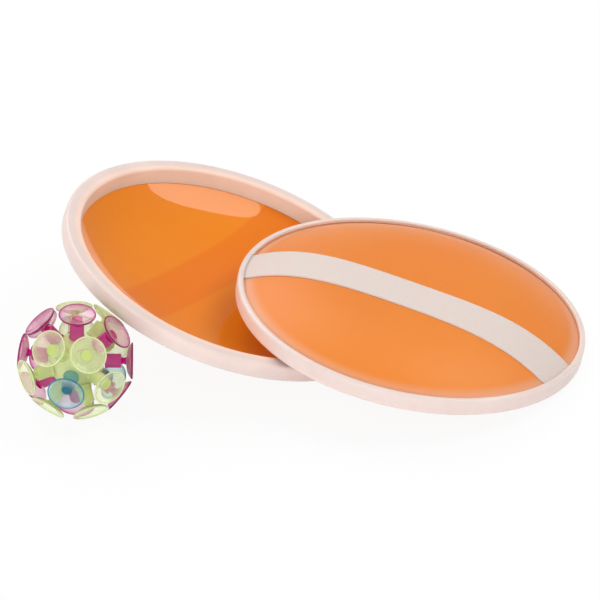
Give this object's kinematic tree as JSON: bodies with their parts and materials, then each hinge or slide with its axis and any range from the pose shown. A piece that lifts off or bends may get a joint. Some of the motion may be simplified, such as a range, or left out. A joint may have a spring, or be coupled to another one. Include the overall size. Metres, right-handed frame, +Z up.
{
  "type": "suction catch ball set",
  "caption": "Pair of round catch discs with frosted rims, domed orange sheets and woven hand straps, with a ball of soft suction cups on a lime core.",
  "frame": {"origin": "centre of the bottom of the set's box, on the surface that it stands on", "axes": "+X to the right along the set's length, +Y away from the front, +Z up"},
  "size_m": [0.2996, 0.215, 0.0689],
  "materials": {
    "frosted_rim": "frosted, slightly translucent white",
    "orange_sheet": "glossy translucent orange",
    "woven_strap": "white woven elastic",
    "lime_rubber": "clear lime, smooth",
    "magenta_rubber": "clear magenta, smooth",
    "turquoise_rubber": "clear turquoise, smooth"
  },
  "bodies": {
    "root": {"left_rim": "frosted_rim", "left_dish": "orange_sheet", "left_strap": "woven_strap", "right_rim": "frosted_rim", "right_dish": "orange_sheet", "right_strap": "woven_strap", "ball_core": "lime_rubber", "ball_sucker_01": "lime_rubber", "ball_sucker_02": "lime_rubber", "ball_sucker_03": "turquoise_rubber", "ball_sucker_04": "magenta_rubber", "ball_sucker_05": "magenta_rubber", "ball_sucker_06": "magenta_rubber", "ball_sucker_07": "magenta_rubber", "ball_sucker_08": "magenta_rubber", "ball_sucker_09": "lime_rubber", "ball_sucker_10": "lime_rubber", "ball_sucker_11": "lime_rubber", "ball_sucker_12": "lime_rubber", "ball_sucker_13": "lime_rubber", "ball_sucker_14": "lime_rubber", "ball_sucker_15": "magenta_rubber", "ball_sucker_16": "magenta_rubber", "ball_sucker_17": "magenta_rubber", "ball_sucker_18": "lime_rubber", "ball_sucker_19": "magenta_rubber", "ball_sucker_20": "turquoise_rubber", "ball_sucker_21": "lime_rubber", "ball_sucker_22": "magenta_rubber", "ball_sucker_23": "turquoise_rubber"}
  },
  "joints": []
}
